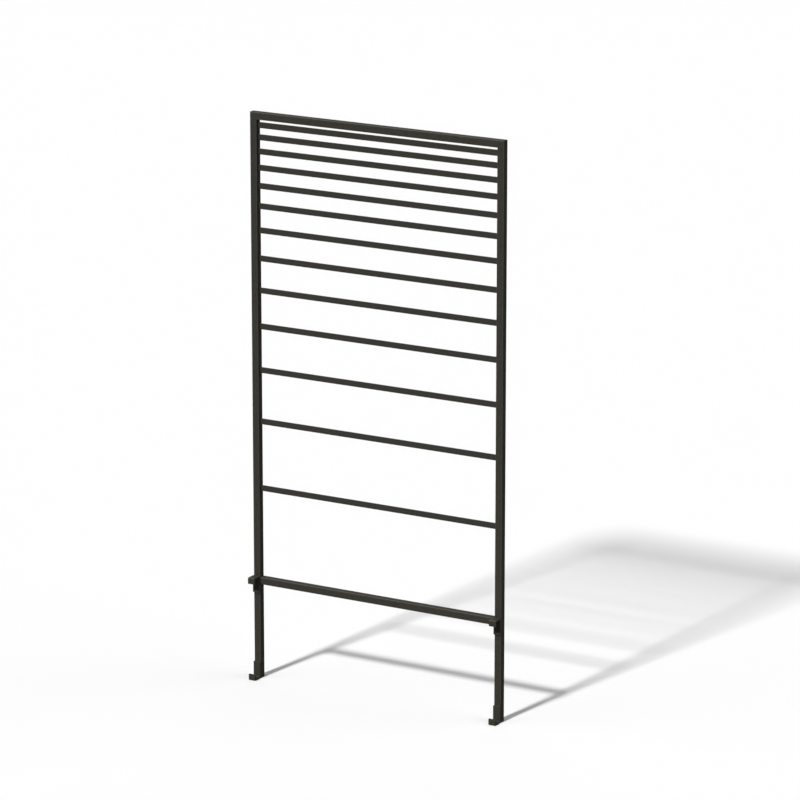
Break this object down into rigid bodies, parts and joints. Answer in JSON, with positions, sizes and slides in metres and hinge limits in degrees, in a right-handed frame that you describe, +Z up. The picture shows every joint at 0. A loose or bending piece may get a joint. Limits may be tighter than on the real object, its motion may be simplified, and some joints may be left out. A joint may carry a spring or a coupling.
{
  "type": "garden trellis",
  "caption": "Tall welded steel panel of square tube with flat rungs spaced wider towards the bottom, and bent strap hooks that grip the wall of a raised bed.",
  "frame": {"origin": "on the ground, under the centre of the trellis with its hooks", "axes": "+Z up along the posts, +X to the right along the rungs, +Y to the back, away from the hooks"},
  "size_m": [0.762, 0.0502, 1.562],
  "materials": {
    "coated_tube": "fine textured matt black powder coat on square steel tube",
    "coated_bar": "fine textured matt black powder coat on flat steel bar",
    "coated_strap": "fine textured matt black powder coat on bent steel strap",
    "coated_weld": "matt black powder coat over rippled weld beads",
    "plug_plastic": "moulded black polyethylene with a fine grain"
  },
  "bodies": {
    "root": {"left_post": "coated_tube", "right_post": "coated_tube", "top_rail": "coated_tube", "cross_bar": "coated_tube", "rung_01": "coated_bar", "rung_02": "coated_bar", "rung_03": "coated_bar", "rung_04": "coated_bar", "rung_05": "coated_bar", "rung_06": "coated_bar", "rung_07": "coated_bar", "rung_08": "coated_bar", "rung_09": "coated_bar", "rung_10": "coated_bar", "rung_11": "coated_bar", "rung_12": "coated_bar", "rung_13": "coated_bar", "upper_hook_left": "coated_strap", "upper_hook_right": "coated_strap", "lower_hook_left": "coated_strap", "lower_hook_right": "coated_strap", "weld_rung_01_left": "coated_weld", "weld_rung_01_right": "coated_weld", "weld_rung_02_left": "coated_weld", "weld_rung_02_right": "coated_weld", "weld_rung_03_left": "coated_weld", "weld_rung_03_right": "coated_weld", "weld_rung_04_left": "coated_weld", "weld_rung_04_right": "coated_weld", "weld_rung_05_left": "coated_weld", "weld_rung_05_right": "coated_weld", "weld_rung_06_left": "coated_weld", "weld_rung_06_right": "coated_weld", "weld_rung_07_left": "coated_weld", "weld_rung_07_right": "coated_weld", "weld_rung_08_left": "coated_weld", "weld_rung_08_right": "coated_weld", "weld_rung_09_left": "coated_weld", "weld_rung_09_right": "coated_weld", "weld_rung_10_left": "coated_weld", "weld_rung_10_right": "coated_weld", "weld_rung_11_left": "coated_weld", "weld_rung_11_right": "coated_weld", "weld_rung_12_left": "coated_weld", "weld_rung_12_right": "coated_weld", "weld_rung_13_left": "coated_weld", "weld_rung_13_right": "coated_weld", "weld_corner_left": "coated_weld", "weld_corner_right": "coated_weld", "weld_cross_bar_top_left": "coated_weld", "weld_cross_bar_top_right": "coated_weld", "weld_cross_bar_bottom_left": "coated_weld", "weld_cross_bar_bottom_right": "coated_weld", "weld_upper_hook_left": "coated_weld", "weld_upper_hook_right": "coated_weld", "weld_lower_hook_left": "coated_weld", "weld_lower_hook_right": "coated_weld", "end_plug_left": "plug_plastic", "end_plug_right": "plug_plastic"}
  },
  "joints": []
}
